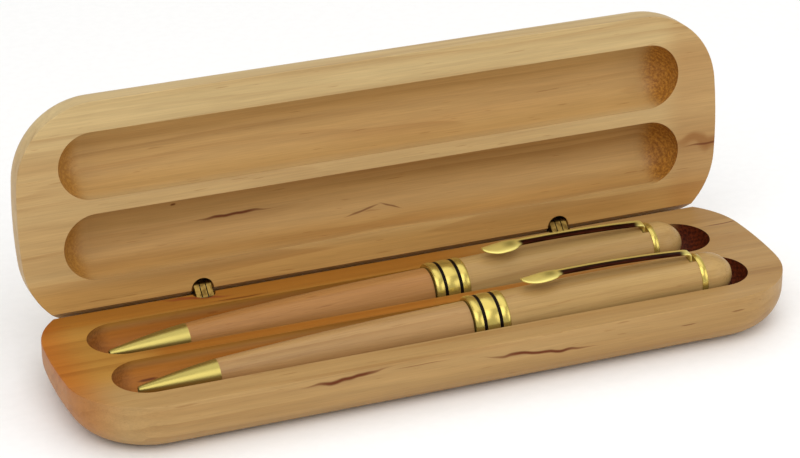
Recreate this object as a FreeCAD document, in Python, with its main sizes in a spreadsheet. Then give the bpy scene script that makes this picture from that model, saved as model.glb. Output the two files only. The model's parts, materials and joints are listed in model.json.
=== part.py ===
import FreeCAD, Part
import Sketcher
import math
import os
import re

from FreeCAD import Placement, Rotation, Vector

# A hinged wooden pen box that lies open, with two twist pens in its lower half.
# Row frame: X along the box, -Y its front, +Z up, the origin in the middle of its flat underside.
# Millimetres and degrees. The pose that is built is the open box, with the lid against its stop.

SIZES = {
    "box_length": (172.5, "length of both halves"),
    "box_width": (54.2, "front to back of both halves"),
    "half_height": (12.5, "thickness of one half"),
    "corner_round": (19.0, "radius of the corners in plan"),
    "end_round": (121.0, "radius of the bowed ends in plan"),
    "edge_round": (8.7, "round along the outer edge"),
    "lip_ease": (0.2, "broken edge round the meeting faces"),
    "closed_gap": (0.2, "air between the halves when the box is shut"),
    "open_angle": (93.67, "how far the lid opens"),
    "trough_radius": (7.94, "round bottom of a trough"),
    "trough_depth": (8.32, "depth of a trough"),
    "front_trough_y": (-12.07, "middle line of the front trough"),
    "rear_trough_y": (7.23, "middle line of the rear trough"),
    "hinge_y": (21.77, "line where the two halves fold"),
    "hinge_x": (44.5, "each hinge from the middle of the box"),
    "barrel_radius": (2.7, "hinge barrel"),
    "barrel_length": (5.5, "hinge barrel, along its bore"),
    "pivot_depth": (1.2, "hinge pin below its own meeting face"),
    "pivot_radius": (0.6, "hinge pin"),
    "pivot_length": (5.0, "hinge pin"),
    "leaf_radius": (1.45, "round ends of a hinge leaf"),
    "leaf_thick": (1.2, "hinge leaf"),
    "leaf_pitch": (1.45, "from leaf to leaf"),
    "leaf_play": (0.1, "air beside the outer leaves in their slot"),
    "pin_play": (0.05, "air round a hinge pin in a leaf"),
    "pen_length": (141.15, "pen, from nib to end"),
    "pen_room": (11.25, "free length of a trough beyond its pen"),
    "front_pen_nib_room": (6.225, "front pen's nib from its end of the trough"),
    "front_pen_shift": (0.23, "front pen's band behind the trough's middle line"),
    "front_pen_yaw": (-1.66, "front pen's end turned towards the rear"),
    "front_pen_pitch": (1.99, "front pen's end above its nib"),
    "front_pen_roll": (-4.0, "front pen's clip leaning to the rear"),
    "rear_pen_nib_room": (4.345, "rear pen's nib from its end of the trough"),
    "rear_pen_shift": (0.14, "rear pen's band behind the trough's middle line"),
    "rear_pen_yaw": (1.24, "rear pen's end turned towards the rear"),
    "rear_pen_pitch": (0.56, "rear pen's end above its nib"),
    "rear_pen_roll": (-11.0, "rear pen's clip leaning to the rear"),
    "rest_gap": (0.3, "air under a pen in its trough"),
    "nib_length": (18.0, "metal nib, seen part"),
    "nib_tip_radius": (0.85, "nib at its tip"),
    "nib_base_radius": (3.5, "nib at its wide end"),
    "nib_spigot": (5.0, "part of the nib inside the brass tube"),
    "nib_hole_radius": (0.62, "hole for the ball point"),
    "nib_hole_length": (4.0, "depth of that hole"),
    "nib_bulge": (160.0, "radius of the nib's slightly full side"),
    "tube_outside": (3.1, "brass tubes, outside radius"),
    "tube_inside": (2.8, "brass tubes, inside radius"),
    "lower_end": (76.4, "rear end of the lower barrel, from the nib"),
    "lower_front_radius": (3.45, "lower barrel at the nib"),
    "lower_rear_radius": (5.2, "lower barrel at the band"),
    "lower_bulge": (1100.0, "radius of the lower barrel's full side"),
    "turn_gap": (0.3, "air between the two halves of a pen"),
    "band_length": (8.35, "middle band of the pen"),
    "band_radius": (6.2, "middle band, at its rings"),
    "band_belly": (0.12, "how far the rings swell past their edges"),
    "band_ring": (1.9, "outer rings of the band"),
    "black_width": (0.8, "black inlay"),
    "black_sunk": (0.15, "black inlay below the rings"),
    "black_depth": (0.9, "depth of the black inlay's groove"),
    "upper_front_radius": (5.75, "upper barrel at the band"),
    "upper_rear_radius": (5.25, "upper barrel at the end ring"),
    "upper_bulge": (900.0, "radius of the upper barrel's full side"),
    "end_ring_width": (1.4, "thin ring before the finial"),
    "end_ring_radius": (5.55, "thin ring before the finial"),
    "finial_length": (7.35, "wooden finial"),
    "finial_radius": (5.2, "finial at its ring"),
    "finial_flat": (2.2, "radius of the finial's blunt end"),
    "finial_bulge": (7.0, "radius of the finial's dome"),
    "stud_radius": (2.0, "brass stud in the finial"),
    "stud_reach": (3.4, "how far the stud goes into the finial"),
    "stud_plug": (6.0, "part of the stud inside the upper tube"),
    "mechanism_length": (18.0, "twist mechanism inside the lower tube"),
    "mechanism_neck": (2.6, "twist mechanism's neck, radius"),
    "neck_length": (3.0, "twist mechanism's neck"),
    "spindle_length": (22.0, "turning sleeve in the upper tube"),
    "refill_play": (0.35, "air round the ink refill"),
    "refill_radius": (1.55, "ink refill"),
    "refill_length": (88.0, "ink refill without its point"),
    "point_radius": (0.5, "ball point"),
    "point_length": (9.0, "thin part of the ball point"),
    "point_cone": (2.5, "from the thin part to the refill"),
    "point_back": (2.4, "ball point behind the nib's end when drawn in"),
    "clip_root": (0.9, "clip's root in front of the end ring"),
    "clip_length": (41.8, "clip, from root to tip"),
    "clip_thick": (0.6, "clip's sheet metal"),
    "clip_top": (7.4, "top of the clip's arm at its root, above the pen's axis"),
    "clip_low": (8.9, "top of the clip's arm at its spoon, above the pen's axis"),
    "clip_bow": (320.0, "radius of the arm's slight arch"),
    "clip_arm_width": (2.4, "clip's arm"),
    "clip_tip_width": (4.2, "clip's spoon end"),
    "clip_spoon": (8.0, "length of the spoon end"),
    "clip_tab": (0.9, "part of the clip below the barrel's surface"),
    "clip_play": (0.15, "air round the clip's tab"),
    "clip_lift": (1.5, "clip's spoon above the barrel"),
}

doc = FreeCAD.newDocument("pen_box")
sheet = doc.addObject("Spreadsheet::Sheet", "Sizes")
for row, (alias, (size, meaning)) in enumerate(SIZES.items(), start=1):
    sheet.set(f"A{row}", alias)
    sheet.set(f"B{row}", str(size))
    sheet.set(f"C{row}", meaning)
    sheet.setAlias(f"B{row}", alias)
doc.recompute()


def linked(formula):
    """The formula with each size read from the sheet."""
    return re.sub(r"[a-z]\w*", lambda word: "Sizes." * (word.group() in SIZES) + word.group(), formula)


def number(formula):
    """What a formula gives with the sheet's present sizes."""
    return float(sheet.evalExpression(linked(formula)))


def bind(thing, target, formula):
    thing.setExpression(target, linked(formula))


# Sketches and features


def new_body(label):
    body = doc.addObject("PartDesign::Body", label)
    body.Label = label
    return body


def origin_plane(body, role):
    return next(item for item in body.Origin.OriginFeatures if item.Role == role)


def new_sketch(body, name, role, offset=None):
    """A sketch on one of the body's own planes, moved off it along the plane's normal by a formula."""
    sketch = body.newObject("Sketcher::SketchObject", name)
    sketch.AttachmentSupport = [(origin_plane(body, role), "")]
    sketch.MapMode = "FlatFace"
    if offset:
        bind(sketch, "AttachmentOffset.Base.z", offset)
    return sketch


def pin_point(sketch, edge, end, across, up):
    """Hold one end of an edge at two formulas from the sketch's origin."""
    for kind, axis, formula in (("DistanceX", -2, across), ("DistanceY", -1, up)):
        distance = number(formula)
        if abs(distance) < 1e-9:
            sketch.addConstraint(Sketcher.Constraint("PointOnObject", edge, end, axis))
            continue
        where = sketch.addConstraint(Sketcher.Constraint(kind, -1, 1, edge, end, distance))
        bind(sketch, f"Constraints[{where}]", formula)


def arc_between(start, end, radius):
    """The short arc from start to end. It bends to the right of the way, or with a negative radius to the left."""
    chord = end - start
    half = chord.Length / 2
    side = Vector(-chord.y, chord.x, 0).normalize() * math.copysign(1, radius)
    centre = (start + end) / 2 - side * math.sqrt(radius * radius - half * half)
    middle = centre + side * abs(radius)
    return Part.Arc(start, middle, end)


def outline(sketch, corners):
    """A closed outline. Each corner is (across, up) or (across, up, radius of the arc to the next corner)."""
    places = [Vector(number(corner[0]), number(corner[1]), 0) for corner in corners]
    ends = []
    first = sketch.GeometryCount
    for here, there, corner in zip(places, places[1:] + places[:1], corners):
        if len(corner) == 2:
            sketch.addGeometry(Part.LineSegment(here, there))
            ends.append((1, 2))
            continue
        radius = number(corner[2])
        edge = sketch.addGeometry(arc_between(here, there, radius))
        ends.append((2, 1) if radius > 0 else (1, 2))
        where = sketch.addConstraint(Sketcher.Constraint("Radius", edge, abs(radius)))
        bind(sketch, f"Constraints[{where}]", f"abs({corner[2]})")
    for i, corner in enumerate(corners):
        before = (i - 1) % len(corners)
        joint = Sketcher.Constraint("Coincident", first + before, ends[before][1], first + i, ends[i][0])
        sketch.addConstraint(joint)
        pin_point(sketch, first + i, ends[i][0], corner[0], corner[1])


def circle(sketch, across, up, radius):
    place = Vector(number(across), number(up), 0)
    edge = sketch.addGeometry(Part.Circle(place, Vector(0, 0, 1), number(radius)))
    pin_point(sketch, edge, 3, across, up)
    where = sketch.addConstraint(Sketcher.Constraint("Radius", edge, number(radius)))
    bind(sketch, f"Constraints[{where}]", radius)


def rectangle(sketch, left, low, right, high):
    outline(sketch, [(left, low), (right, low), (right, high), (left, high)])


def feature(body, kind, sketch, length=None, both_ways=False, reverse=False):
    """A pad or pocket of a sketch: length is a formula, and without one a pocket goes right through."""
    made = body.newObject(f"PartDesign::{kind}", sketch.Name.replace("sketch", kind.lower()))
    made.Profile = sketch
    made.Midplane = both_ways
    made.Reversed = reverse
    if length:
        bind(made, "Length", length)
    else:
        made.Type = "ThroughAll"
    doc.recompute()
    return made


def turned(label, corners):
    """A piece turned about X: each corner is (distance along the axis, radius)."""
    body = new_body(label)
    sketch = new_sketch(body, f"{label}_sketch", "XZ_Plane")
    outline(sketch, corners)
    made = body.newObject("PartDesign::Revolution", f"{label}_turned")
    made.Profile = sketch
    made.ReferenceAxis = (sketch, ["H_Axis"])
    made.Angle = 360
    doc.recompute()
    return body


def sleeve(label, start, end, inside, outside):
    return turned(label, [(start, inside), (end, inside), (end, outside), (start, outside)])


def must_cut(body, before):
    """Stop if the last cut took nothing away."""
    doc.recompute()
    if body.Shape.Volume > before - 1e-6:
        raise ValueError(f"{body.Label}: {body.Tip.Name} cuts nothing")


# The two halves of the box

TROUGH_LENGTH = "(pen_length + pen_room)"


def add_edge_rounds(body):
    """Round the outer edge all the way along, and ease the edge of the meeting face."""
    rounds = (("edge", "0 * half_height", "edge_round"), ("lip", "half_height", "lip_ease"))
    for name, height, radius in rounds:
        level = number(height)
        shape = body.Shape
        edges = []
        for i, edge in enumerate(shape.Edges, start=1):
            if abs(edge.BoundBox.ZMin - level) < 1e-4 and abs(edge.BoundBox.ZMax - level) < 1e-4:
                edges.append(f"Edge{i}")
        solid = body.Tip
        round_over = body.newObject("PartDesign::Fillet", f"{body.Label}_{name}")
        round_over.Base = (solid, edges)
        bind(round_over, "Radius", radius)
        doc.recompute()


def plan_outline(sketch):
    """Straight sides, round corners and slightly bowed ends, all meeting without a kink."""
    end_centre = "(box_length / 2 - end_round)"
    reach = "end_round / (end_round - corner_round)"
    inset = "(box_width / 2 - corner_round)"
    corner_x = f"({end_centre} + sqrt((end_round - corner_round) ^ 2 - {inset} ^ 2))"
    meet_x = f"({end_centre} + ({corner_x} - {end_centre}) * {reach})"
    meet_y = f"({inset} * {reach})"
    outline(
        sketch,
        [
            (f"-{corner_x}", "-box_width / 2"),
            (corner_x, "-box_width / 2", "-corner_round"),
            (meet_x, f"-{meet_y}", "-end_round"),
            (meet_x, meet_y, "-corner_round"),
            (corner_x, "box_width / 2"),
            (f"-{corner_x}", "box_width / 2", "-corner_round"),
            (f"-{meet_x}", meet_y, "-end_round"),
            (f"-{meet_x}", f"-{meet_y}", "-corner_round"),
        ],
    )


def cut_trough(body, name, middle):
    """A round-bottomed trough with ball ends, and a little straight wall above its widest level."""
    before = body.Shape.Volume
    level = "(half_height - trough_depth + trough_radius)"
    straight = f"({TROUGH_LENGTH} / 2 - trough_radius)"
    near = f"{middle} - trough_radius"
    far = f"{middle} + trough_radius"
    mouth = new_sketch(body, f"{body.Label}_{name}_mouth_sketch", "XY_Plane", "half_height")
    outline(
        mouth,
        [
            (f"-{straight}", near),
            (straight, near, "-trough_radius"),
            (f"{TROUGH_LENGTH} / 2", middle, "-trough_radius"),
            (straight, far),
            (f"-{straight}", far, "-trough_radius"),
            (f"-{TROUGH_LENGTH} / 2", middle, "-trough_radius"),
        ],
    )
    feature(body, "Pocket", mouth, f"half_height - {level}")
    sketch = new_sketch(body, f"{body.Label}_{name}_sketch", "XY_Plane", level)
    outline(
        sketch,
        [
            (f"-{TROUGH_LENGTH} / 2", middle),
            (f"{TROUGH_LENGTH} / 2", middle, "-trough_radius"),
            (straight, far),
            (f"-{straight}", far, "-trough_radius"),
        ],
    )
    groove = body.newObject("PartDesign::Groove", f"{body.Label}_{name}")
    groove.Profile = sketch
    groove.ReferenceAxis = (sketch, ["Edge1"])
    groove.Angle = 360
    must_cut(body, before)


def box_half(label):
    """One half, with its outer face at z = 0 and its meeting face at z = half_height."""
    body = new_body(label)
    plan = new_sketch(body, f"{label}_plan_sketch", "XY_Plane")
    plan_outline(plan)
    feature(body, "Pad", plan, "half_height")
    add_edge_rounds(body)

    before = body.Shape.Volume
    bevel = new_sketch(body, f"{label}_bevel_sketch", "YZ_Plane")
    bevel_outline(bevel)
    feature(body, "Pocket", bevel, "box_length + 2", both_ways=True)
    must_cut(body, before)

    cut_trough(body, "front_trough", "front_trough_y")
    cut_trough(body, "rear_trough", "rear_trough_y")

    before = body.Shape.Volume
    bores = new_sketch(body, f"{label}_bores_sketch", "XY_Plane", "half_height")
    for side in ("-", ""):
        circle(bores, f"{side}hinge_x", "hinge_y", "barrel_radius")
    feature(body, "Pocket", bores, "barrel_length")
    must_cut(body, before)
    return body


def bevel_outline(sketch):
    """The wedge behind the fold line that is cut off both halves so that the lid can lean back."""
    behind = "(box_width / 2 - hinge_y + 2)"
    outline(
        sketch,
        [
            ("hinge_y", "half_height"),
            (f"hinge_y + {behind}", f"half_height - {behind} * tan(open_angle / 2)"),
            (f"hinge_y + {behind}", "half_height + 2"),
            ("hinge_y", "half_height + 2"),
        ],
    )


# Hinges: in each half a slotted barrel and its cross pin, with three leaves that join the pins


def hinge_barrel(label, side):
    """A barrel in the frame of its half, with its slot, pin hole and the half's own bevel."""
    body = new_body(label)
    middle = f"{side}hinge_x"
    disc = new_sketch(body, f"{label}_disc_sketch", "XY_Plane", "half_height - barrel_length")
    circle(disc, middle, "hinge_y", "barrel_radius")
    feature(body, "Pad", disc, "barrel_length")

    before = body.Shape.Volume
    slot = new_sketch(body, f"{label}_slot_sketch", "XZ_Plane")
    floor = "half_height - pivot_depth - leaf_radius - leaf_play"
    half_slot = "(leaf_pitch + leaf_thick / 2 + leaf_play)"
    rectangle(slot, f"{middle} - {half_slot}", floor, f"{middle} + {half_slot}", "half_height + 1")
    feature(body, "Pocket", slot, "4 * box_width", both_ways=True)
    must_cut(body, before)

    before = body.Shape.Volume
    hole = new_sketch(body, f"{label}_hole_sketch", "YZ_Plane")
    circle(hole, "hinge_y", "half_height - pivot_depth", "pivot_radius")
    feature(body, "Pocket", hole, "4 * box_length", both_ways=True)
    must_cut(body, before)

    before = body.Shape.Volume
    bevel = new_sketch(body, f"{label}_bevel_sketch", "YZ_Plane")
    bevel_outline(bevel)
    feature(body, "Pocket", bevel, "4 * box_length", both_ways=True)
    must_cut(body, before)
    return body


def hinge_pin(label):
    pin = doc.addObject("Part::Cylinder", label)
    pin.Label = label
    bind(pin, "Radius", "pivot_radius")
    bind(pin, "Height", "pivot_length")
    return pin


def hinge_leaf(label, side, place):
    """A flat leaf with two round ends, standing across the meeting faces of the shut box."""
    body = new_body(label)
    middle = f"{side}hinge_x + {place} * leaf_pitch"
    sketch = new_sketch(body, f"{label}_sketch", "YZ_Plane", middle)
    low = "half_height - pivot_depth"
    high = "half_height + pivot_depth + closed_gap"
    outline(
        sketch,
        [
            ("hinge_y + leaf_radius", low),
            ("hinge_y + leaf_radius", high, "-leaf_radius * 1.0000001"),
            ("hinge_y - leaf_radius", high),
            ("hinge_y - leaf_radius", low, "-leaf_radius * 1.0000001"),
        ],
    )
    circle(sketch, "hinge_y", low, "pivot_radius + pin_play")
    circle(sketch, "hinge_y", high, "pivot_radius + pin_play")
    feature(body, "Pad", sketch, "leaf_thick", both_ways=True)
    return body


# Pens: turned about X, with the nib's end at x = 0


def pen_lower_half(pen):
    """What is held while the upper half is turned: nib, lower barrel, brass tube and mechanism."""
    spigot_end = "nib_length + nib_spigot"
    bore = "refill_radius + refill_play"
    nib = turned(
        f"{pen}_nib",
        [
            ("0 * nib_length", "nib_hole_radius"),
            ("nib_hole_length", "nib_hole_radius"),
            ("nib_hole_length + 4", bore),
            (spigot_end, bore),
            (spigot_end, "tube_inside"),
            ("nib_length", "tube_inside"),
            ("nib_length", "nib_base_radius", "-nib_bulge"),
            ("0 * nib_length", "nib_tip_radius"),
        ],
    )
    barrel = turned(
        f"{pen}_lower_barrel",
        [
            ("nib_length", "tube_outside"),
            ("lower_end", "tube_outside"),
            ("lower_end", "lower_rear_radius", "-lower_bulge"),
            ("nib_length", "lower_front_radius"),
        ],
    )
    tube = sleeve(f"{pen}_lower_tube", "nib_length", "lower_end", "tube_inside", "tube_outside")
    start = "lower_end - mechanism_length"
    mechanism = turned(
        f"{pen}_twist_mechanism",
        [
            (start, bore),
            ("lower_end + neck_length", bore),
            ("lower_end + neck_length", "mechanism_neck"),
            ("lower_end", "mechanism_neck"),
            ("lower_end", "tube_inside"),
            (start, "tube_inside"),
        ],
    )
    return [nib, barrel, tube, mechanism]


def pen_refill(pen):
    """The ink refill and its ball point, drawn into the nib."""
    shoulder = "point_back + point_length"
    start = f"{shoulder} + point_cone"
    point = turned(
        f"{pen}_ball_point",
        [
            ("point_back + 0.3", "0 * point_radius"),
            (start, "0 * point_radius"),
            (start, "refill_radius"),
            (shoulder, "point_radius"),
            ("point_back + 0.3", "point_radius"),
            ("point_back", "point_radius * 0.7"),
            ("point_back", "0 * point_radius"),
        ],
    )
    tube = turned(
        f"{pen}_refill_tube",
        [
            (start, "0 * refill_radius"),
            (f"{start} + refill_length", "0 * refill_radius"),
            (f"{start} + refill_length", "refill_radius"),
            (start, "refill_radius"),
        ],
    )
    return [point, tube]


def pen_band(pen, start):
    """The metal band with its two black rings."""
    ring_edge = "band_radius - band_belly"
    groove = "band_radius - black_depth"
    first = f"{start} + band_ring"
    second = f"{start} + band_length - band_ring - black_width"
    end = f"{start} + band_length"
    ring_bulge = "(band_ring ^ 2 / (8 * band_belly) + band_belly / 2)"
    belly = "(band_length - 2 * band_ring - 2 * black_width)"
    belly_bulge = f"({belly} ^ 2 / (8 * band_belly) + band_belly / 2)"
    band = turned(
        f"{pen}_band",
        [
            (start, "tube_outside"),
            (end, "tube_outside"),
            (end, ring_edge, f"-{ring_bulge}"),
            (f"{second} + black_width", ring_edge),
            (f"{second} + black_width", groove),
            (second, groove),
            (second, ring_edge, f"-{belly_bulge}"),
            (f"{first} + black_width", ring_edge),
            (f"{first} + black_width", groove),
            (first, groove),
            (first, ring_edge, f"-{ring_bulge}"),
            (start, ring_edge),
        ],
    )
    inlay = "band_radius - black_sunk"
    near = sleeve(f"{pen}_black_ring_a", first, f"{first} + black_width", groove, inlay)
    far = sleeve(f"{pen}_black_ring_b", second, f"{second} + black_width", groove, inlay)
    return [band, near, far]


def pen_upper_half(pen):
    """Band, upper barrel, brass tube, turning sleeve, end ring, finial and its stud."""
    start = "lower_end + turn_gap"
    barrel_start = f"{start} + band_length"
    ring_start = "pen_length - finial_length - end_ring_width"
    ring_end = "pen_length - finial_length"
    barrel = turned(
        f"{pen}_upper_barrel",
        [
            (barrel_start, "tube_outside"),
            (ring_start, "tube_outside"),
            (ring_start, "upper_rear_radius", "-upper_bulge"),
            (barrel_start, "upper_front_radius"),
        ],
    )
    cut_clip_slot(barrel)
    tube = sleeve(f"{pen}_upper_tube", start, ring_start, "tube_inside", "tube_outside")
    sleeve_start = f"{start} + neck_length + turn_gap"
    sleeve_bore = "refill_radius + refill_play"
    spindle = sleeve(
        f"{pen}_turning_sleeve",
        sleeve_start,
        f"{sleeve_start} + spindle_length",
        sleeve_bore,
        "tube_inside",
    )
    ring = turned(
        f"{pen}_end_ring",
        [
            (ring_start, "stud_radius"),
            (ring_end, "stud_radius"),
            (ring_end, "end_ring_radius - band_belly", "-end_ring_width"),
            (ring_start, "end_ring_radius - band_belly"),
        ],
    )
    finial = turned(
        f"{pen}_finial",
        [
            (ring_end, "stud_radius"),
            (f"{ring_end} + stud_reach", "stud_radius"),
            (f"{ring_end} + stud_reach", "0 * stud_radius"),
            ("pen_length", "0 * stud_radius"),
            ("pen_length", "finial_flat", "-finial_bulge"),
            (ring_end, "finial_radius"),
        ],
    )
    stud = turned(
        f"{pen}_finial_stud",
        [
            (f"{ring_start} - stud_plug", "0 * stud_radius"),
            (f"{ring_end} + stud_reach", "0 * stud_radius"),
            (f"{ring_end} + stud_reach", "stud_radius"),
            (ring_start, "stud_radius"),
            (ring_start, "tube_inside"),
            (f"{ring_start} - stud_plug", "tube_inside"),
        ],
    )
    return pen_band(pen, start) + [barrel, tube, spindle, ring, finial, stud]


CLIP_ROOT = "pen_length - finial_length - end_ring_width - clip_root"
CLIP_SEAT = "upper_rear_radius - clip_tab"


def cut_clip_slot(barrel):
    """The short slot in the upper barrel's end that takes the clip's tab."""
    before = barrel.Shape.Volume
    sketch = new_sketch(barrel, f"{barrel.Label}_slot_sketch", "XZ_Plane")
    rectangle(
        sketch,
        f"{CLIP_ROOT} - clip_thick - clip_play",
        f"{CLIP_SEAT} - clip_play",
        f"{CLIP_ROOT} + clip_root + 1",
        "upper_rear_radius + 2",
    )
    feature(barrel, "Pocket", sketch, "clip_arm_width + 2 * clip_play", both_ways=True)
    must_cut(barrel, before)


def pen_clip(pen):
    """A sprung clip: a tab in the barrel, an arm and a spoon that dips to the barrel and turns up."""
    label = f"{pen}_clip"
    body = new_body(label)
    side = new_sketch(body, f"{label}_side_sketch", "XZ_Plane")
    root = f"({CLIP_ROOT})"
    tip = f"({root} - clip_length)"
    spoon = f"({tip} + clip_spoon)"
    dip = f"({tip} + clip_spoon * 0.36)"
    low = "(upper_front_radius + clip_lift)"
    curl = f"({low} + clip_thick * 1.6)"
    outline(
        side,
        [
            (root, CLIP_SEAT),
            (root, "clip_top - clip_thick * 2.4", "-clip_thick * 2.6"),
            (f"{root} - clip_thick * 2.4", "clip_top", "-clip_bow"),
            (f"{spoon} + clip_spoon * 0.4", "clip_low", "-clip_spoon * 1.4"),
            (spoon, "clip_low - clip_thick * 0.5", "clip_spoon * 1.5"),
            (dip, f"{low} + clip_thick", "clip_spoon * 0.6"),
            (tip, f"{curl} + clip_thick * 0.8"),
            (f"{tip} + clip_thick * 0.25", curl, "-clip_spoon * 0.7"),
            (dip, low, "-clip_spoon * 1.6"),
            (f"{spoon} + clip_thick * 0.2", "clip_low - clip_thick * 1.55", "clip_spoon * 1.3"),
            (f"{spoon} + clip_spoon * 0.4", "clip_low - clip_thick", "clip_bow"),
            (f"{root} - clip_thick * 2.4", "clip_top - clip_thick", "clip_thick * 1.6"),
            (f"{root} - clip_thick", "clip_top - clip_thick * 2.4"),
            (f"{root} - clip_thick", CLIP_SEAT),
        ],
    )
    feature(body, "Pad", side, "clip_tip_width", both_ways=True)

    before = body.Shape.Volume
    plan = new_sketch(body, f"{label}_plan_sketch", "XY_Plane", "clip_top + 1")
    neck = f"({spoon} + clip_tip_width * 0.3)"
    cheek = f"{tip} + clip_tip_width * 0.7"
    for way, turn in (("", ""), ("-", "-")):
        outline(
            plan,
            [
                (f"{tip} - 1", f"{way}(clip_tip_width / 2 + 1)"),
                (f"{root} + 1", f"{way}(clip_tip_width / 2 + 1)"),
                (f"{root} + 1", f"{way}clip_arm_width / 2"),
                (neck, f"{way}clip_arm_width / 2", f"{turn}clip_tip_width"),
                (f"{neck} - clip_tip_width * 0.7", f"{way}clip_tip_width / 2"),
                (cheek, f"{way}clip_tip_width / 2", f"{turn}clip_tip_width * -0.75"),
                (f"{tip} - 0.2", f"{way}clip_tip_width * 0.12"),
                (f"{tip} - 1", f"{way}clip_tip_width * 0.12"),
            ],
        )
    feature(body, "Pocket", plan, "clip_top * 2")
    must_cut(body, before)
    return body


# Where everything goes


def turn_about(y, z, angle):
    """A turn about a line along X through y and z; a positive angle swings the top backwards."""
    return Placement(Vector(), Rotation(Vector(1, 0, 0), -angle), Vector(0, y, z))


HALF_TURN = number("open_angle / 2")
HINGE_Y = number("hinge_y")
BASE_PIVOT_Z = number("half_height - pivot_depth")
LID_PIVOT_Z = number("half_height + closed_gap + pivot_depth")
LEAVES_OPEN = turn_about(HINGE_Y, BASE_PIVOT_Z, HALF_TURN)
FLIPPED = Placement(Vector(0, 0, number("2 * half_height + closed_gap")), Rotation(Vector(0, 1, 0), 180))
LID_OPEN = LEAVES_OPEN.multiply(turn_about(HINGE_Y, LID_PIVOT_Z, HALF_TURN)).multiply(FLIPPED)
PIN_ALONG_X = Rotation(Vector(0, 1, 0), 90)


def place_pin(pin, half, side):
    start = number(f"{side}hinge_x - pivot_length / 2")
    lying = Placement(Vector(start, HINGE_Y, BASE_PIVOT_Z), PIN_ALONG_X)
    pin.Placement = half.multiply(lying)


def pen_place(pen, trough_y):
    """A pen lies on its band in its trough, a little askew, its end a little up and its clip leaning back."""
    yaw = Rotation(Vector(0, 0, 1), number(f"{pen}_yaw"))
    pitch = Rotation(Vector(0, 1, 0), -number(f"{pen}_pitch"))
    roll = Rotation(Vector(1, 0, 0), -number(f"{pen}_roll"))
    askew = yaw.multiply(pitch).multiply(roll)
    nib_to_band = number("lower_end + turn_gap + band_length / 2")
    band_x = nib_to_band + number(f"{pen}_nib_room - {TROUGH_LENGTH} / 2")
    band_y = number(f"{trough_y} + {pen}_shift")
    band_z = number("half_height - trough_depth + band_radius + rest_gap")
    band = Vector(band_x, band_y, band_z)
    return Placement(band - askew.multVec(Vector(nib_to_band, 0, 0)), askew)


nodes = [box_half("base_tray")]
lid = box_half("lid")
lid.Placement = LID_OPEN
nodes.append(lid)

for hinge, side in (("left_hinge", "-"), ("right_hinge", "")):
    mirrored = "" if side else "-"
    base_barrel = hinge_barrel(f"{hinge}_base_barrel", side)
    lid_barrel = hinge_barrel(f"{hinge}_lid_barrel", mirrored)
    lid_barrel.Placement = LID_OPEN
    base_pin = hinge_pin(f"{hinge}_base_pin")
    place_pin(base_pin, Placement(), side)
    lid_pin = hinge_pin(f"{hinge}_lid_pin")
    place_pin(lid_pin, LID_OPEN, mirrored)
    nodes += [base_barrel, lid_barrel, base_pin, lid_pin]
    for letter, place in zip("abc", (-1, 0, 1)):
        leaf = hinge_leaf(f"{hinge}_leaf_{letter}", side, place)
        leaf.Placement = LEAVES_OPEN
        nodes.append(leaf)

for pen, trough_y in (("front_pen", "front_trough_y"), ("rear_pen", "rear_trough_y")):
    pieces = pen_lower_half(pen) + pen_refill(pen) + pen_upper_half(pen) + [pen_clip(pen)]
    for piece in pieces:
        piece.Placement = pen_place(pen, trough_y)
    nodes += pieces

doc.recompute()
for item in doc.Objects:
    if "Invalid" in item.State or "Error" in item.State:
        raise ValueError(f"{item.Label} is {item.State}")
os.makedirs("parts", exist_ok=True)
for node in nodes:
    shape = node.Shape
    if shape.isNull() or not shape.isValid() or len(shape.Solids) != 1:
        raise ValueError(f"{node.Label} has no single valid solid")
for node in nodes:
    node.Shape.exportStep(f"parts/{node.Label}.step")
print(len(nodes), "pieces written")
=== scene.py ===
import json
import math

import bpy
from mathutils import Matrix, Vector


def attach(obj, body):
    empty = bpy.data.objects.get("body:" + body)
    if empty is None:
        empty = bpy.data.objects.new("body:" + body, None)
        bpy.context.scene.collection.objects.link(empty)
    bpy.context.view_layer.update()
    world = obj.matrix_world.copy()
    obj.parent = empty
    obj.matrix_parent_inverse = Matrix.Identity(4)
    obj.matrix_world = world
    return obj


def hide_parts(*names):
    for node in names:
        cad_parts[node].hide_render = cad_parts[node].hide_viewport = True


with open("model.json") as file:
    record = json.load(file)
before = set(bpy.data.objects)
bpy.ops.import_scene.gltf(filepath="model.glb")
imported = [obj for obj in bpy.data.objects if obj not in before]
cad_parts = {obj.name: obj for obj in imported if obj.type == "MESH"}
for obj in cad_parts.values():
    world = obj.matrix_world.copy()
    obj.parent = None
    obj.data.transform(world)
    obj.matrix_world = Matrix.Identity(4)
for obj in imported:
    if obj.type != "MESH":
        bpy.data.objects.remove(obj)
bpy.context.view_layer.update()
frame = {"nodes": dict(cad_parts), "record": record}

# A hinged maple pen box, open, with two twist pens. Metres, in the row frame.
# Patterns and the pens' metal pieces are given in millimetres.

nodes = frame["nodes"]
MM = 0.001

# Camera, at the photograph's place
CAMERA_PLACE = (-0.22584, -0.561, 0.31276)
CAMERA_TURN = -21.5
CAMERA_DOWN = 25.05
CAMERA_ROLL = -0.33
CAMERA_LENS = 133.74
LID_OPEN = 93.67

# Troughs along the box: half their length, and where their round ends begin
TROUGH_HALF = 76.6
TROUGH_END = (60.0, 64.0)

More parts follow.
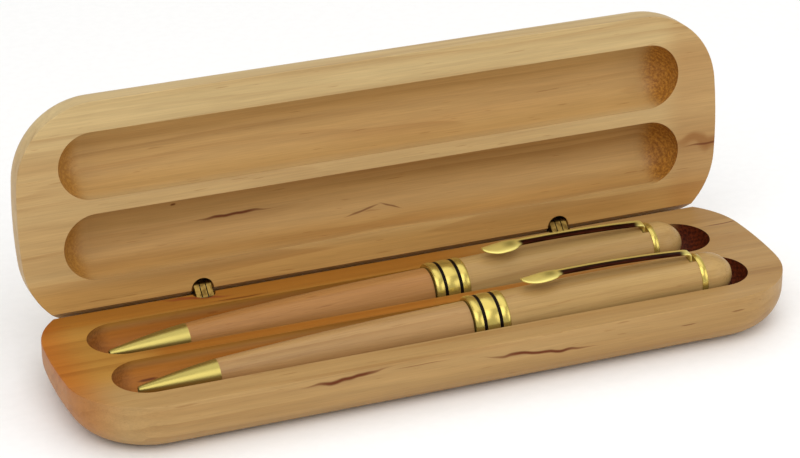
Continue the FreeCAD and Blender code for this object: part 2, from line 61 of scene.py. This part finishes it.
# A pen, measured from its nib. Its twist joint is where its lower half ends. The band is
# (start, outer ring, black inlay, length), the nib (tip, wide end, radius at the tip, radius at
# the wide end) and the end ring (start, end) with the radii of its bore and its edge.
LOWER_END = 76.4
TUBE_RADIUS = 3.1
BAND = (76.7, 1.9, 0.8, 8.35)
BAND_RADIUS = 6.06
BAND_BELLY = 0.13
BAND_GROOVE = 5.3
BROKEN_EDGE = 0.12
NIB = (0.3, 18.0, 0.95, 3.5)
NIB_BELLY = 0.25
NIB_FACE = 0.78
NIB_INSIDE = ((0.0, 0.62), (4.0, 0.62), (8.0, 1.9), (23.0, 1.9), (23.0, 2.8), (18.0, 2.8))
END_RING = (132.4, 133.8)
END_RING_RADII = (2.0, 5.4)
END_RING_EDGE = (0.08, 0.03)
ARM_HALF_WIDTH = 1.15
SPOON_TO_FRONT = 0.6
CLIP_ROUNDNESS = 0.7

# How finely the smooth pieces are divided
LATHE_SIDES = 120
CLIP_SIDES = 20
CLIP_STEPS = 5
SWELL_STEPS = 8
NIB_STEPS = 24

# Where each pen's wood lies in the pattern, and how far off its upper half's wood is
PEN_SEEDS = {"front_pen": 5.0, "rear_pen": 8.0}
UPPER_SEED = 1.3

# Studio lights: name, place, aim, size and power
LIGHTS = (
    ("key", (-0.35, -0.75, 1.0), (0, 0, 0), (1.3, 0.9), 7.5),
    ("top", (0.2, 0.1, 1.2), (0, 0, 0), (1.3, 0.9), 3.6),
    ("fill", (0.9, -0.8, 0.5), (0, 0, 0.02), (0.8, 0.7), 2.5),
)
SKY_STRENGTH = 0.6
FLOOR_REACH = 3.0
FLOOR_DROP = 0.0002


def joint(name):
    return next(item for item in frame["record"]["behaviour"]["joints"] if item["name"] == name)


# Material nodes


class Paint:
    """A material that is built up node by node. Coordinates are in millimetres."""

    def __init__(self, name):
        self.material = bpy.data.materials.new(name)
        self.material.use_nodes = True
        self.tree = self.material.node_tree
        self.shader = self.tree.nodes["Principled BSDF"]

    def node(self, kind, inputs=(), **settings):
        made = self.tree.nodes.new(f"ShaderNode{kind}")
        for name, value in settings.items():
            setattr(made, name, value)
        for socket, value in dict(inputs).items():
            self.put(made.inputs[socket], value)
        return made

    def put(self, socket, value):
        if isinstance(value, bpy.types.NodeSocket):
            self.tree.links.new(value, socket)
        else:
            socket.default_value = value

    def set(self, **values):
        """Give the shader's own inputs their values."""
        for name, value in values.items():
            self.put(self.shader.inputs[name.replace("_", " ")], value)

    def math(self, operation, first, second=0.0, third=0.0):
        made = self.node("Math", {0: first, 1: second, 2: third}, operation=operation)
        return made.outputs[0]

    def times(self, first, *others):
        for other in others:
            first = self.math("MULTIPLY", first, other)
        return first

    def smooth(self, value, start, end, low=0.0, high=1.0):
        """From low at start to high at end, with soft shoulders."""
        ramp = {"Value": value, "From Min": start, "From Max": end, "To Min": low, "To Max": high}
        made = self.node("MapRange", ramp)
        made.interpolation_type = "SMOOTHSTEP"
        return made.outputs["Result"]

    def within(self, axes, ramps, most=1.0):
        """The most where all ramps are full. A ramp is (axis, where it starts, where it is full)."""
        amounts = [self.smooth(axes[axis], start, full) for axis, start, full in ramps]
        return self.times(most, *amounts)

    def mix(self, factor, first, second, blend="MIX"):
        made = self.node("Mix", data_type="RGBA", blend_type=blend)
        self.put(made.inputs[0], factor)
        self.put(made.inputs[6], first)
        self.put(made.inputs[7], second)
        return made.outputs[2]

    def place(self, turn=(0, 0, 0), origin=(0, 0, 0)):
        """Object coordinates in millimetres, moved by -origin and turned."""
        here = self.node("TexCoord").outputs["Object"]
        shift = self.node("VectorMath", {0: here, 1: origin}, operation="SUBTRACT").outputs[0]
        turned = self.node("VectorRotate", {"Vector": shift, "Rotation": turn},
                           rotation_type="EULER_XYZ").outputs[0]
        return self.node("VectorMath", {0: turned, "Scale": 1 / MM}, operation="SCALE").outputs[0]

    def axes(self, place):
        split = self.node("SeparateXYZ", {0: place})
        return {axis: split.outputs[i] for i, axis in enumerate("xyz")}

    def stretched(self, place, along, across):
        scale = (along, across, across)
        return self.node("VectorMath", {0: place, 1: scale}, operation="MULTIPLY").outputs[0]

    def noise(self, place, detail=2.0, rough=0.5, scale=1.0):
        look = {"Vector": place, "Scale": scale, "Detail": detail, "Roughness": rough}
        return self.node("TexNoise", look).outputs["Fac"]

    def bump(self, height, depth_mm, strength=1.0):
        made = self.node("Bump", {"Height": height, "Distance": depth_mm * MM, "Strength": strength})
        self.put(self.shader.inputs["Normal"], made.outputs[0])


# Colours


def rgb(red, green, blue):
    """A colour as it shows on a screen, from 0 to 255, as linear light."""
    parts = []
    for part in (red, green, blue):
        part = part / 255
        parts.append(part / 12.92 if part <= 0.04045 else ((part + 0.055) / 1.055) ** 2.4)
    return (*parts, 1.0)


def scaled(colour, factor, lift=0.0):
    return (*(part * factor + lift for part in colour[:3]), 1.0)


GOLD = rgb(204, 182, 94)
# The band's gold, darker for the nib: painted shade that tempers the nib's highlight
SHADED_NIB_GOLD = rgb(172, 156, 84)
CLIP_GOLD = rgb(228, 212, 122)
# Darker gold, painted shade for a hollow on the clip's spoon
PAINTED_SHADE_GOLD = rgb(104, 98, 38)
# Painted reflection of a dark room, in two tones, for the front of the clip's arm
PAINTED_REFLECTION_DARK = (rgb(30, 9, 5), rgb(62, 24, 10))
HINGE_BRASS = rgb(144, 115, 58)
TARNISH = rgb(96, 72, 32)
BARE_BRASS = rgb(206, 172, 96)
STEEL = rgb(178, 174, 164)
BLACK = rgb(14, 6, 3)
PLASTIC = rgb(38, 38, 44)
PAPER = (rgb(250, 250, 250), rgb(252, 252, 252))
SKY = (1.0, 0.99, 0.97, 1.0)

# Woods: pale, middle and dark
BASE_MAPLE = (rgb(178, 143, 92), rgb(164, 127, 76), rgb(129, 84, 38))
LID_MAPLE = (rgb(193, 162, 111), rgb(183, 149, 98), rgb(142, 98, 50))
LOWER_MAPLE = {
    "front_pen": (rgb(174, 137, 88), rgb(163, 123, 76), rgb(134, 92, 51)),
    "rear_pen": (rgb(166, 118, 66), rgb(150, 99, 51), rgb(119, 72, 34)),
}
UPPER_MAPLE = (rgb(180, 148, 94), rgb(170, 135, 82), rgb(144, 102, 55))
STREAK = rgb(98, 44, 8)
RED = rgb(132, 62, 32)
RUST = rgb(140, 92, 44)

# Mineral streaks: (across which axis, start, end, level, slope, half width), strength, colour,
# and the range of a second axis that keeps the streak on its own face
BASE_STREAKS = (
    (("z", -41.0, -15.0, 11.5, 0.02, 0.46), 1.0, STREAK, ("y", -29.0, -26.0)),
    (("z", -19.5, -1.5, 11.0, 0.0, 0.12), 0.5, STREAK, ("y", -29.0, -26.0)),
    (("z", 0.0, 35.5, 8.1, -0.09, 0.42), 1.0, STREAK, ("y", -29.0, -26.0)),
    (("z", 51.5, 57.5, 8.2, 0.02, 0.14), 0.7, STREAK, ("y", -29.0, -26.0)),
    (("z", 64.5, 69.5, 9.6, 0.02, 0.18), 0.6, STREAK, ("y", -29.0, -26.0)),
    (("y", 74.0, 92.0, 10.7, 0.03, 0.20), 0.8, STREAK, ("z", 11.0, 13.5)),
    (("y", -58.0, -36.0, 19.6, -0.2, 0.75), 0.85, RED, ("z", 11.0, 13.5)),
    (("y", -47.0, -28.0, 16.4, 0.0, 0.3), 0.8, STREAK, ("z", 9.0, 13.5)),
    (("z", -70.0, -63.0, 7.8, 0.0, 0.26), 0.9, STREAK, ("y", -7.5, -3.5)),
)
LID_STREAKS = (
    (("y", -46.0, -22.0, -13.7, -0.02, 0.38), 0.95, STREAK, ("z", 4.0, 9.0)),
    (("y", -9.0, 4.0, -9.7, -0.16, 0.2), 0.7, STREAK, ("z", 3.0, 9.0)),
    (("y", 1.0, 8.0, -9.9, 0.28, 0.18), 0.7, STREAK, ("z", 3.0, 9.0)),
    (("y", -49.3, -47.3, -18.3, 0.0, 0.34), 0.9, STREAK, ("z", 2.0, 9.0)),
    (("y", 74.6, 76.6, -33.0, 0.0, 0.30), 0.8, STREAK, ("z", 0.5, 9.0)),
    (("y", 70.0, 98.0, -15.2, -0.04, 1.3), 0.8, RUST, ("z", -3.0, 12.0)),
    (("y", 75.0, 96.0, -14.9, -0.04, 0.24), 0.8, STREAK, ("z", -3.0, 12.0)),
)

# Whole regions recoloured, most of them painted light and shade: a colour, then its ramps as (axis, where it
# starts, where it is full)
BASE_PAINTED_LIGHT_AND_SHADE = (
    # painted warm bounce light from the lid on the top face's left half, behind the front rim
    (rgb(254, 232, 170), ("x", 50.0, 5.0), ("y", -19.0, -8.0), ("z", 10.5, 12.3)),
    # painted shade from the lid on the rear strip's left half
    (rgb(244, 226, 200), ("x", 40.0, 10.0), ("y", 14.0, 17.0), ("z", 10.5, 12.3)),
    # painted shade on the rib between the troughs
    (rgb(236, 208, 172), ("x", 64.0, 50.0), ("x", -68.0, -60.0), ("y", -4.4, -3.8), ("y", -0.4, -1.0),
     ("z", 11.5, 12.3)),
    # warmer and darker at the left end
    (rgb(255, 214, 176), ("x", -76.0, -86.0)),
)
LID_PAINTED_LIGHT_AND_SHADE = (
    # painted shade and warm bounce light towards the lid's lower edge
    (rgb(252, 236, 204), ("y", -10.0, -3.0)),
    # painted light: the lid's top lighter and paler
    ((1.08, 1.18, 1.28, 1.0), ("y", -36.0, -46.0)),
    # slightly darker at the right end
    (rgb(242, 232, 222), ("x", 70.0, 78.0), ("z", 0.5, -1.0)),
)

# Both troughs of a half: ramps of depth below the mouth and above the outer face, middle and half
# width over both, their tint of painted shade, and for each end its side, strength and two colours of end
# grain
BASE_TROUGHS = {
    "depth": (("z", 12.3, 10.0), ("z", 1.5, 3.0)),
    "width": (-2.4, 17.8),
    # painted shade inside the troughs
    "tint": rgb(254, 204, 134),
    "ends": (
        (1, 1.0, rgb(60, 20, 10), rgb(104, 44, 20)),
        (-1, 0.7, rgb(104, 56, 22), rgb(140, 88, 40)),
    ),
}
LID_TROUGHS = {
    "depth": (("z", -1.1, 2.5), ("z", 9.8, 8.4)),
    "width": (-24.2, 17.8),
    # painted shade inside the troughs
    "tint": rgb(248, 236, 216),
    "ends": (
        (1, 0.9, rgb(132, 78, 18), rgb(182, 124, 44)),
        (-1, 0.75, rgb(142, 90, 18), rgb(174, 120, 40)),
    ),
}

# On a clip, from the joint between the pen's halves: the painted reflection on the arm's front and the
# painted shade in the spoon's hollow
ARM_PAINTED_REFLECTION = (("x", 21.6, 23.2), ("x", 54.0, 52.0), ("y", 0.3, 0.05))
SPOON_PAINTED_SHADE = (("x", 17.4, 20.2), ("x", 22.4, 20.2), ("y", -2.0, -0.4), ("y", 1.3, 0.0))


# Wood


class Grain:
    """A wooden piece's own coordinates, with the grain along x, and noise drawn out along it."""

    def __init__(self, paint, turn, origin, seed):
        self.paint = paint
        place = paint.place(turn, origin)
        shift = (seed * 31, seed * 17, seed * 7)
        self.shifted = paint.node("VectorMath", {0: place, 1: shift}, operation="ADD").outputs[0]
        self.axes = paint.axes(place)

    def noise(self, along, across, detail=2.0, rough=0.5):
        return self.paint.noise(self.paint.stretched(self.shifted, along, across), detail, rough)


def pith_distance(paint, grain, pith):
    """How far a place is from the tree's middle, which sways slowly along the board."""
    wave = paint.math("SUBTRACT", grain.noise(0.012, 0.035, detail=1.5), 0.5)
    sway = paint.math("MULTIPLY", wave, 9.0)
    from_pith = paint.node("CombineXYZ", {
        1: paint.math("ADD", paint.math("SUBTRACT", grain.axes["y"], pith[0]), sway),
        2: paint.math("SUBTRACT", grain.axes["z"], pith[1]),
    }).outputs[0]
    return paint.node("VectorMath", {0: from_pith}, operation="LENGTH").outputs["Value"]


def late_wood(paint, grain, distance, ring):
    """Growth lines: each darkens slowly and ends at once."""
    spread = paint.math("MULTIPLY", grain.noise(0.004, 0.09), 5.0)
    turns = paint.math("FRACT", paint.math("ADD", paint.math("DIVIDE", distance, ring), spread))
    return paint.times(paint.smooth(turns, 0.35, 0.93), paint.smooth(turns, 1.0, 0.95))


def maple(paint, grain, colours, late, fibre):
    """Broad tones, growth lines, bands, fibres and short flecks."""
    pale, mid, dark = colours
    tone = paint.smooth(grain.noise(0.006, 0.075, detail=3.0, rough=0.55), 0.3, 0.7)
    colour = paint.mix(tone, pale, mid)
    late_strength = paint.smooth(grain.noise(0.01, 0.16, detail=1.0), 0.35, 0.75, 0.04, 0.34)
    colour = paint.mix(paint.times(late, late_strength), colour, dark)

    bands = paint.smooth(grain.noise(0.02, 0.55, detail=3.0, rough=0.6), 0.3, 0.7, 0.94, 1.04)
    shade = paint.times(bands, paint.smooth(fibre, 0.25, 0.75, 0.93, 1.06))
    grey = paint.node("CombineColor", {0: shade, 1: shade, 2: shade}).outputs[0]
    colour = paint.mix(1.0, colour, grey, "MULTIPLY")

    fleck = paint.smooth(grain.noise(0.14, 1.9, detail=1.0), 0.70, 0.78, 0.0, 0.4)
    return paint.mix(fleck, colour, dark)


def in_troughs(paint, grain, troughs):
    """1 inside the troughs, 0 outside."""
    amount = paint.within(grain.axes, troughs["depth"])
    for axis, (middle, half) in (("x", (0.0, TROUGH_HALF)), ("y", troughs["width"])):
        off = paint.math("ABSOLUTE", paint.math("SUBTRACT", grain.axes[axis], middle))
        amount = paint.times(amount, paint.smooth(off, half + 0.4, half - 0.1))
    return amount


def streak(paint, grain, wave, across, start, end, level, slope, half_width):
    """A wavy, tapered line along the grain: 1 on the line, 0 away from it."""
    middle, half = (start + end) / 2, (end - start) / 2
    x = grain.axes["x"]
    line = paint.math("MULTIPLY_ADD", x, slope, level - slope * middle)
    wobble = paint.math("MULTIPLY", paint.math("SUBTRACT", wave, 0.5), half_width * 9)
    centre = paint.math("ADD", line, wobble)
    off = paint.math("ABSOLUTE", paint.math("SUBTRACT", grain.axes[across], centre))
    far = paint.math("ABSOLUTE", paint.math("SUBTRACT", x, middle))
    taper = paint.smooth(far, half, half * 0.25)
    width = paint.math("MULTIPLY_ADD", taper, half_width, 1e-4)
    return paint.times(paint.smooth(paint.math("DIVIDE", off, width), 1.5, 0.3), taper)


def between(paint, axis, low, high, soft=0.8):
    above = paint.smooth(axis, low - soft, low + soft)
    below = paint.smooth(axis, high + soft, high - soft)
    return paint.times(above, below)


def end_grain(paint, grain, colour, distance, ends):
    """Speckled end grain where the round ends of the troughs cut across the fibres."""
    facing = paint.axes(paint.node("NewGeometry").outputs["Normal"])["x"]
    speckle = grain.noise(1.6, 1.6, detail=3.0, rough=0.7)
    rings = paint.math("PINGPONG", distance, 0.5)
    pores = paint.math("MULTIPLY_ADD", rings, 0.2, paint.math("MULTIPLY", speckle, 1.1))
    for side, strength, burnt, lighter in ends:
        inward = paint.smooth(paint.math("MULTIPLY", facing, -side), 0.03, 0.6)
        there = paint.smooth(paint.math("MULTIPLY", grain.axes["x"], side), *TROUGH_END)
        cut = paint.mix(paint.smooth(pores, 0.45, 0.8), burnt, lighter)
        colour = paint.mix(paint.times(inward, there, strength), colour, cut)
    return colour


def wood(name, colours, turn=(0, 0, 0), origin=(0, 0, 0), seed=0.0, pith=(-46.0, -70.0), ring=3.4,
         roughness=0.42, troughs=None, painted_light_and_shade=(), streaks=()):
    """Maple with its grain along the turned X."""
    paint = Paint(name)
    grain = Grain(paint, turn, origin, seed)
    distance = pith_distance(paint, grain, pith)
    late = late_wood(paint, grain, distance, ring)
    fibre = grain.noise(0.09, 3.4, rough=0.65)
    colour = maple(paint, grain, colours, late, fibre)

    # Painted shade over the inside of the troughs
    if troughs:
        colour = paint.mix(in_troughs(paint, grain, troughs), colour, troughs["tint"], "MULTIPLY")
    # Painted light and shade over whole regions
    for tint, *ramps in painted_light_and_shade:
        colour = paint.mix(paint.within(grain.axes, ramps), colour, tint, "MULTIPLY")
    wave = grain.noise(0.09, 0.05) if streaks else None
    for line, strength, tint, (axis, low, high) in streaks:
        mark = streak(paint, grain, wave, *line)
        on_face = between(paint, grain.axes[axis], low, high)
        colour = paint.mix(paint.times(mark, on_face, strength), colour, tint)
    if troughs:
        colour = end_grain(paint, grain, colour, distance, troughs["ends"])

    paint.set(Base_Color=colour, Specular_IOR_Level=0.18)
    paint.set(Roughness=paint.smooth(fibre, 0.2, 0.8, roughness - 0.05, roughness + 0.07))
    relief = paint.math("ADD", paint.math("MULTIPLY", fibre, 0.7), paint.math("MULTIPLY", late, 0.3))
    paint.bump(relief, 0.05, 0.6)
    return paint.material


# Metals and plastics


def metal(name, colour, roughness, worn, grain=None, tarnish=None, relief=0.003, metallic=1.0):
    """Plated or bare metal with fine polishing lines and a little wear."""
    paint = Paint(name)
    place = paint.place()
    lines = paint.noise(paint.stretched(place, *grain) if grain else place, detail=3.0)
    cloud = paint.noise(place, scale=0.55)
    tint = paint.mix(paint.smooth(cloud, 0.3, 0.75), colour, scaled(colour, 0.97))
    if tarnish:
        tint = paint.mix(paint.smooth(cloud, 0.45, 0.62, 0.0, 0.85), tint, tarnish)
    paint.set(Base_Color=tint, Metallic=metallic)
    paint.set(Roughness=paint.smooth(lines, 0.2, 0.8, roughness, roughness + worn))
    if relief:
        paint.bump(lines, relief, 0.4)
    return paint.material


def gold_plate(name, colour, roughness, metallic):
    """Gold without raised polishing lines, a little less than a full metal."""
    return metal(name, colour, roughness, worn=0.01, grain=(0.3, 0.3), relief=0.0, metallic=metallic)


def enamel(name, colour, roughness):
    """Dark enamel or plastic, dulled a little by dust."""
    paint = Paint(name)
    dust = paint.noise(paint.place(), detail=3.0, scale=2.0)
    dusty = scaled(colour, 1.6, 0.002)
    paint.set(Base_Color=paint.mix(paint.smooth(dust, 0.3, 0.8), colour, dusty))
    paint.set(Roughness=paint.smooth(dust, 0.2, 0.8, roughness, roughness + 0.1))
    paint.set(Specular_IOR_Level=0.06)
    paint.bump(dust, 0.01, 0.3)
    return paint.material


def pen_axes(pen):
    """A pen's own axes in the row frame: X along it, Y across its clip, Z out through the clip."""
    along = Vector(joint(f"{pen}_twist")["axis"])
    across = Vector(joint(f"{pen}_clip_flex")["axis"])
    return Matrix((along, across, along.cross(across)))


def clip_gold(pen):
    """Gold with a painted reflection of a dark room on the front of the arm, bright behind it, and painted
    shade in a hollow on the spoon.
    """
    paint = Paint(f"{pen}_clip_gold")
    place = paint.place(pen_axes(pen).to_euler(), joint(f"{pen}_twist")["pos_m"])
    axes = paint.axes(place)
    shine = paint.noise(paint.stretched(place, 0.2, 2.0))
    # Painted reflection of a dark room
    dark = paint.mix(paint.smooth(shine, 0.3, 0.75), *PAINTED_REFLECTION_DARK)
    # Painted shade of a hollow on the spoon
    gold = paint.mix(paint.within(axes, SPOON_PAINTED_SHADE, 0.6), CLIP_GOLD, PAINTED_SHADE_GOLD)
    # Where the painted reflection lies: the front of the arm
    painted_reflection = paint.within(axes, ARM_PAINTED_REFLECTION)
    paint.set(Base_Color=paint.mix(painted_reflection, gold, dark), Specular_IOR_Level=0.1)
    paint.set(Metallic=paint.smooth(painted_reflection, 0.0, 1.0, 0.7, 1.0))
    paint.set(Roughness=paint.smooth(shine, 0.2, 0.8, 0.3, 0.38))
    return paint.material


# Metal pieces of the pens, in a pen's own frame: along it from its nib, across and out


def pen_piece(name, pen, body, corners, faces, material, sharp=35):
    """A smooth piece that takes the place of the node with the same name."""
    turn = pen_axes(pen).transposed()
    middle = Vector(joint(f"{pen}_twist")["pos_m"])
    places = [middle + turn @ (Vector((x - LOWER_END, y, z)) * MM) for x, y, z in corners]
    mesh = bpy.data.meshes.new(name)
    mesh.from_pydata(places, [], faces)
    for polygon in mesh.polygons:
        polygon.use_smooth = True
    mesh.set_sharp_from_angle(angle=math.radians(sharp))
    mesh.materials.append(material)
    made = bpy.data.objects.new(f"{name}_smooth", mesh)
    bpy.context.scene.collection.objects.link(made)
    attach(made, body)
    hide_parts(name)


def lathe(name, pen, body, profile, material):
    """A closed outline of (along, radius), turned about the pen."""
    corners = []
    for x, radius in profile:
        for i in range(LATHE_SIDES):
            angle = math.tau * i / LATHE_SIDES
            corners.append((x, radius * math.cos(angle), radius * math.sin(angle)))
    faces = []
    for ring in range(len(profile)):
        here, there = ring * LATHE_SIDES, (ring + 1) % len(profile) * LATHE_SIDES
        for i in range(LATHE_SIDES):
            j = (i + 1) % LATHE_SIDES
            faces.append((here + i, here + j, there + j, there + i))
    pen_piece(name, pen, body, corners, faces, material)


def swell(start, end, radius, belly, steps=SWELL_STEPS):
    """Points from start to end that swell by the belly in between."""
    points = []
    for i in range(steps + 1):
        part = i / steps
        points.append((start + (end - start) * part, radius + belly * 4 * part * (1 - part)))
    return points


def band_profile():
    """Three swelling rings with two grooves between them."""
    start, ring, inlay, length = BAND
    first, last, end = start + ring, start + length - ring, start + length
    edge = BAND_RADIUS - BROKEN_EDGE
    way = [(start, TUBE_RADIUS), (start, edge)] + swell(start, first, BAND_RADIUS, BAND_BELLY)[1:]
    way += [(first, BAND_GROOVE), (first + inlay, BAND_GROOVE)]
    way += swell(first + inlay, last - inlay, BAND_RADIUS, BAND_BELLY)
    way += [(last - inlay, BAND_GROOVE), (last, BAND_GROOVE)]
    way += swell(last, end, BAND_RADIUS, BAND_BELLY)[:-1] + [(end, edge), (end, TUBE_RADIUS)]
    return way


def nib_profile():
    """The bore and the spigot inside, then the full cone outside, back to its tip."""
    tip, wide_end, tip_radius, wide_radius = NIB
    rise = (wide_radius - tip_radius) / (wide_end - tip)
    cone = swell(tip, wide_end, 0.0, NIB_BELLY, NIB_STEPS)
    outside = [(x, tip_radius + (x - tip) * rise + belly) for x, belly in cone]
    return list(NIB_INSIDE) + outside[::-1] + [(0.0, NIB_FACE)]


def end_ring_profile():
    start, end = END_RING
    bore, radius = END_RING_RADII
    inward, outward = END_RING_EDGE
    rounded = swell(start + inward, end - inward, radius + outward, BROKEN_EDGE)
    return [(start, bore), (start, radius)] + rounded + [(end, radius), (end, bore)]


# Middle of the clip's metal: along the pen, out from its axis, half width and half thickness
CLIP_WAY = (
    (131.2, 4.5, 1.15, 0.3), (131.2, 5.9, 1.15, 0.3), (131.05, 6.6, 1.15, 0.3), (130.3, 7.05, 1.15, 0.3),
    (128.0, 7.32, 1.15, 0.32), (122.0, 7.8, 1.15, 0.34), (115.0, 8.2, 1.15, 0.34), (108.0, 8.48, 1.15, 0.34),
    (101.5, 8.58, 1.15, 0.34), (98.9, 8.6, 1.2, 0.34), (97.6, 8.6, 1.75, 0.32), (95.6, 8.55, 2.1, 0.3),
    (93.2, 8.36, 2.0, 0.28), (91.4, 8.25, 1.5, 0.26), (90.3, 8.3, 0.95, 0.24), (89.8, 8.42, 0.5, 0.2),
)


def smooth_line(points, steps):
    """A smooth line through all points, with so many steps from one to the next."""
    way = [points[0] * 2 - points[1]] + points + [points[-1] * 2 - points[-2]]
    line = []
    for a, b, c, d in zip(way, way[1:], way[2:], way[3:]):
        square, cube = 2 * a - 5 * b + 4 * c - d, 3 * b - a - 3 * c + d
        for i in range(steps):
            t = i / steps
            line.append(0.5 * (2 * b + (c - a) * t + square * t**2 + cube * t**3))
    return line + [points[-1]]


def oblong(value):
    """A sine or cosine drawn out, so that a circle becomes an oblong with round corners."""
    return math.copysign(abs(value) ** CLIP_ROUNDNESS, value)


def clip_piece(pen):
    """A sprung clip with rounded edges: foot, arm and a leaf-shaped spoon that widens to the front."""
    stations = smooth_line([Vector(way) for way in CLIP_WAY], CLIP_STEPS)
    corners = []
    for i, (along, out, half_width, half_thick) in enumerate(stations):
        before, after = stations[max(i - 1, 0)], stations[min(i + 1, len(stations) - 1)]
        normal = Vector((after[1] - before[1], before[0] - after[0])).normalized()
        to_front = (half_width - ARM_HALF_WIDTH) * SPOON_TO_FRONT
        for k in range(CLIP_SIDES):
            angle = math.tau * k / CLIP_SIDES
            side = oblong(math.cos(angle)) * half_width - to_front
            lift = oblong(math.sin(angle)) * half_thick
            corners.append((along + normal[0] * lift, side, out + normal[1] * lift))
    last = len(corners) - 1
    faces = [tuple(range(CLIP_SIDES)), tuple(range(last, last - CLIP_SIDES, -1))]
    for row in range(len(stations) - 1):
        low, high = row * CLIP_SIDES, (row + 1) * CLIP_SIDES
        for k in range(CLIP_SIDES):
            j = (k + 1) % CLIP_SIDES
            faces.append((low + k, high + k, high + j, low + j))
    pen_piece(f"{pen}_clip", pen, f"{pen}_clip_arm", corners, faces, clip_gold(pen), sharp=60)


def pen_metal(pen, gold, shaded_nib_gold):
    lathe(f"{pen}_nib", pen, f"{pen}_front_half", nib_profile(), shaded_nib_gold)
    lathe(f"{pen}_band", pen, pen, band_profile(), gold)
    lathe(f"{pen}_end_ring", pen, pen, end_ring_profile(), gold)
    clip_piece(pen)


# Materials of the frame's nodes


def box_woods():
    lid_fold = (0, *joint("lid_fold")["pos_m"][1:])
    lid_turn = (math.radians(LID_OPEN), 0, 0)
    base = wood("base_maple", BASE_MAPLE, troughs=BASE_TROUGHS, painted_light_and_shade=BASE_PAINTED_LIGHT_AND_SHADE, streaks=BASE_STREAKS)
    lid = wood("lid_maple", LID_MAPLE, turn=lid_turn, origin=lid_fold, seed=2.0, pith=(30.0, 75.0),
               troughs=LID_TROUGHS, painted_light_and_shade=LID_PAINTED_LIGHT_AND_SHADE, streaks=LID_STREAKS)
    return {"base_tray": base, "lid": lid}


def pen_woods(pen, seed):
    place = {"turn": pen_axes(pen).to_euler(), "origin": joint(f"{pen}_twist")["pos_m"]}
    lower = wood(f"{pen}_lower_wood", LOWER_MAPLE[pen], seed=seed, pith=(-14.0, -22.0), ring=2.6,
                 roughness=0.3, **place)
    upper = wood(f"{pen}_upper_wood", UPPER_MAPLE, seed=seed + UPPER_SEED, pith=(-16.0, -20.0), ring=2.8,
                 roughness=0.3, **place)
    return {f"{pen}_lower_barrel": lower, f"{pen}_upper_barrel": upper, f"{pen}_finial": upper}


def dress():
    """Gives every node of the frame its material, or the smooth piece that takes its place."""
    kinds = box_woods()
    gold = gold_plate("gold_plate", GOLD, roughness=0.24, metallic=0.76)
    # The nib's gold carries painted shade
    shaded_nib_gold = gold_plate("shaded_nib_gold", SHADED_NIB_GOLD, roughness=0.32, metallic=0.85)
    brass = metal("hinge_brass", HINGE_BRASS, roughness=0.28, worn=0.12, tarnish=TARNISH)
    bare = metal("bare_brass", BARE_BRASS, roughness=0.25, worn=0.12, grain=(4.0, 0.6))
    steel = metal("pin_steel", STEEL, roughness=0.24, worn=0.1, grain=(4.0, 0.6))
    black = enamel("black_enamel", BLACK, roughness=0.4)
    plastic = enamel("refill_plastic", PLASTIC, roughness=0.4)
    for pen, seed in PEN_SEEDS.items():
        kinds.update(pen_woods(pen, seed))
        pen_metal(pen, gold, shaded_nib_gold)
        kinds[f"{pen}_black_ring_a"] = kinds[f"{pen}_black_ring_b"] = black
        kinds[f"{pen}_refill_tube"] = plastic
    replaced = [f"{pen}_{part}" for pen in PEN_SEEDS for part in ("nib", "band", "end_ring", "clip")]
    for name, node in nodes.items():
        if name in replaced:
            continue
        other = steel if name.endswith("_pin") else brass if "hinge" in name else bare
        node.data.materials.clear()
        node.data.materials.append(kinds.get(name, other))


# Light, floor and camera


def area_light(name, place, aim, size, power):
    light = bpy.data.lights.new(name, "AREA")
    light.shape = "RECTANGLE"
    light.size, light.size_y = size
    light.energy = power
    lamp = bpy.data.objects.new(name, light)
    bpy.context.scene.collection.objects.link(lamp)
    lamp.location = place
    lamp.rotation_euler = (Vector(aim) - Vector(place)).to_track_quat("-Z", "Y").to_euler()


def studio():
    reach = FLOOR_REACH
    corners = [(-reach, -reach, 0), (reach, -reach, 0), (reach, reach, 0), (-reach, reach, 0)]
    mesh = bpy.data.meshes.new("floor")
    mesh.from_pydata(corners, [], [(0, 1, 2, 3)])
    floor = bpy.data.objects.new("floor", mesh)
    bpy.context.scene.collection.objects.link(floor)
    floor.location.z = -FLOOR_DROP
    paint = Paint("floor_paper")
    speckle = paint.noise(paint.place(), scale=0.4)
    paint.set(Base_Color=paint.mix(paint.smooth(speckle, 0.3, 0.7), *PAPER))
    paint.set(Roughness=0.9, Specular_IOR_Level=0.1)
    mesh.materials.append(paint.material)

    world = bpy.data.worlds.new("studio")
    bpy.context.scene.world = world
    world.use_nodes = True
    sky = world.node_tree.nodes["Background"]
    sky.inputs["Color"].default_value = SKY
    sky.inputs["Strength"].default_value = SKY_STRENGTH
    for light in LIGHTS:
        area_light(*light)


def camera():
    lens = bpy.data.cameras.new("camera")
    lens.lens = CAMERA_LENS
    lens.sensor_width = 36.0
    lens.clip_start = 0.01
    lens.clip_end = 20.0
    seen = bpy.data.objects.new("camera", lens)
    bpy.context.scene.collection.objects.link(seen)
    turn = Matrix.Rotation(math.radians(CAMERA_TURN), 4, "Z")
    tilt = Matrix.Rotation(math.radians(90 - CAMERA_DOWN), 4, "X")
    roll = Matrix.Rotation(math.radians(CAMERA_ROLL), 4, "Z")
    seen.matrix_world = Matrix.Translation(CAMERA_PLACE) @ turn @ tilt @ roll
    bpy.context.scene.camera = seen


dress()
studio()
camera()
bpy.context.scene.view_settings.view_transform = "Standard"
